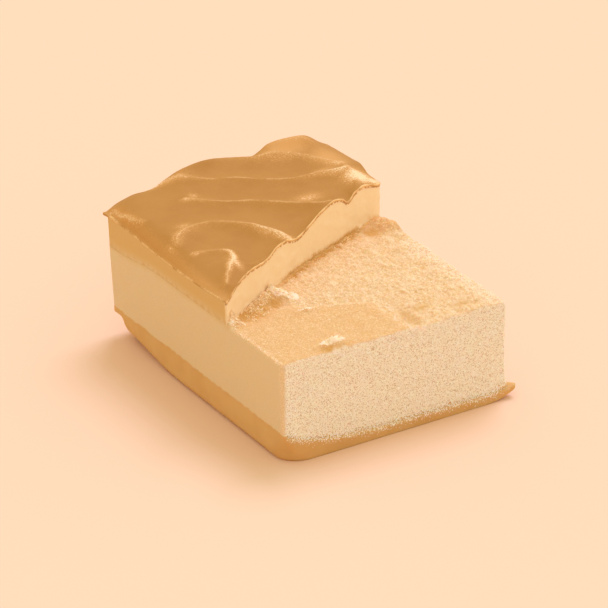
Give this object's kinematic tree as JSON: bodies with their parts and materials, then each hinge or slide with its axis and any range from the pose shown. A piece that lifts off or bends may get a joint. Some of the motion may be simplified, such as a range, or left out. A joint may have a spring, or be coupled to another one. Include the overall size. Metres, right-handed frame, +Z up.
{
  "type": "tiger skin cake",
  "caption": "Rectangular block of pale sponge with a browned underside, topped by a thick egg layer with a wrinkled browned skin that is torn off along a diagonal.",
  "frame": {"origin": "middle of the underside's bounding rectangle, on the table", "axes": "+Y along the block's long side towards the end that keeps its top layer, so the cut crumb face is on -Y; +Z up; +X to the right seen from the cut face"},
  "size_m": [0.0714, 0.0874, 0.0436],
  "materials": {
    "sponge_crumb": "open sponge crumb, matt, with a browned underside",
    "egg_layer": "dense egg crumb under a thin browned skin"
  },
  "bodies": {
    "root": {"sponge_block": "sponge_crumb", "tiger_skin_layer": "egg_layer"}
  },
  "joints": []
}
